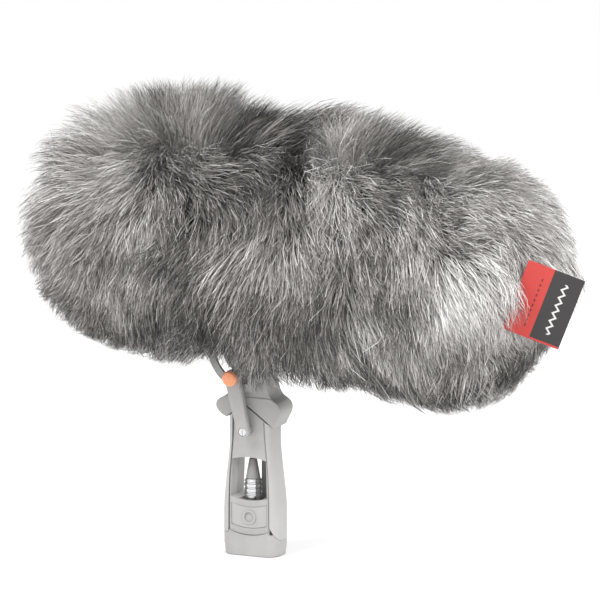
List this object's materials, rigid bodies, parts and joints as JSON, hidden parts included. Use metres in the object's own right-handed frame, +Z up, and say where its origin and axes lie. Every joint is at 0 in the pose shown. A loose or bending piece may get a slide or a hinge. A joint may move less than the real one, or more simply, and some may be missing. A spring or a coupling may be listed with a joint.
{
  "type": "furry windscreen",
  "caption": "Long-haired windscreen cover over a microphone cage, carried by a pistol grip with a tilting head, lock lever and clamp knob.",
  "frame": {"origin": "centre of the grip's flat base, where a boom pole or stand screws in", "axes": "+Z up the grip, +X along the windscreen towards its nose, -Y the side with the lock lever"},
  "size_m": [0.4813, 0.2054, 0.3688],
  "materials": {
    "long_fur": "matte",
    "lining": "matte",
    "tag_weave": "satin",
    "zip_metal": "satin",
    "grip_shell": "satin",
    "grip_rubber": "matte",
    "knob_orange": "gloss",
    "insert_brass": "satin",
    "cable_jacket": "matte",
    "connector_chrome": "polished",
    "steel": "satin",
    "bar_aluminium": "satin",
    "cage_plastic": "matte"
  },
  "bodies": {
    "grip": {"badge_plate_left": "grip_shell", "badge_plate_right": "grip_shell", "base_block": "grip_shell", "base_insert": "insert_brass", "connector_boot": "cable_jacket", "connector_collar": "connector_chrome", "connector_shell": "connector_chrome", "grip_cable": "cable_jacket", "grip_frame_left": "grip_shell", "grip_frame_right": "grip_shell", "grip_head": "grip_shell", "grip_pad_front": "grip_rubber", "grip_pad_rear": "grip_rubber", "grip_screw_1": "steel", "grip_screw_2": "steel", "grip_screw_3": "steel", "grip_screw_4": "steel", "lever_screw": "steel", "lever_spacer": "steel", "pivot_bolt_left": "steel", "pivot_bolt_right": "steel"},
    "windscreen": {"tilt_stem": "cage_plastic", "tilt_quadrant": "grip_shell", "cage_tube": "cage_plastic", "cage_ring_rear": "cage_plastic", "cage_ring_front": "cage_plastic", "suspension_bar": "bar_aluminium", "bar_screw_rear": "steel", "bar_screw_front": "steel", "mic_tail": "cable_jacket", "mic_plug": "connector_chrome", "fur_cover": "long_fur", "zip_tape": "lining", "woven_tag": "tag_weave"},
    "lever": {"lock_lever": "grip_shell"},
    "knob": {"lock_knob": "knob_orange"},
    "front_cap": {"front_cap": "cage_plastic"},
    "rear_cap": {"rear_cap": "cage_plastic"},
    "clip_rear": {"clip_saddle_rear": "cage_plastic", "lyre_rear": "cage_plastic", "mic_cradle_rear": "cage_plastic"},
    "clip_front": {"clip_saddle_front": "cage_plastic", "lyre_front": "cage_plastic", "mic_cradle_front": "cage_plastic"},
    "zip_slider": {"zip_slider": "zip_metal", "zip_pull": "zip_metal"}
  },
  "joints": [
    {"name": "tilt", "type": "hinge", "parent": "grip", "child": "windscreen", "pos_m": [0, 0, 0.168], "axis": [0, 1, 0], "range_deg": [-35, 20]},
    {"name": "lever_lift", "type": "hinge", "parent": "grip", "child": "lever", "pos_m": [-0.0008, -0.0176, 0.102], "axis": [1, 0, 0], "range_deg": [0, 4], "stiffness_Nm_per_rad": 0.8},
    {"name": "knob_turn", "type": "hinge", "parent": "lever", "child": "knob", "pos_m": [-0.0104, -0.024, 0.145], "axis": [0, 1, 0], "range_deg": [0, 180]},
    {"name": "front_cap_twist", "type": "hinge", "parent": "windscreen", "child": "front_cap", "pos_m": [0.17784, 0, 0.23679], "axis": [0.9986, 0, -0.0523], "range_deg": [0, 20]},
    {"name": "rear_cap_twist", "type": "hinge", "parent": "windscreen", "child": "rear_cap", "pos_m": [-0.09578, 0, 0.25113], "axis": [-0.9986, 0, 0.0523], "range_deg": [0, 20]},
    {"name": "clip_rear_slide", "type": "slide", "parent": "windscreen", "child": "clip_rear", "axis": [0.9986, 0, -0.0523], "range_m": [-0.02, 0.004]},
    {"name": "clip_front_slide", "type": "slide", "parent": "windscreen", "child": "clip_front", "axis": [0.9986, 0, -0.0523], "range_m": [-0.02, 0.02]},
    {"name": "zip_run", "type": "slide", "parent": "windscreen", "child": "zip_slider", "axis": [-0.9986, 0, 0.0523], "range_m": [0, 0.065]}
  ]
}
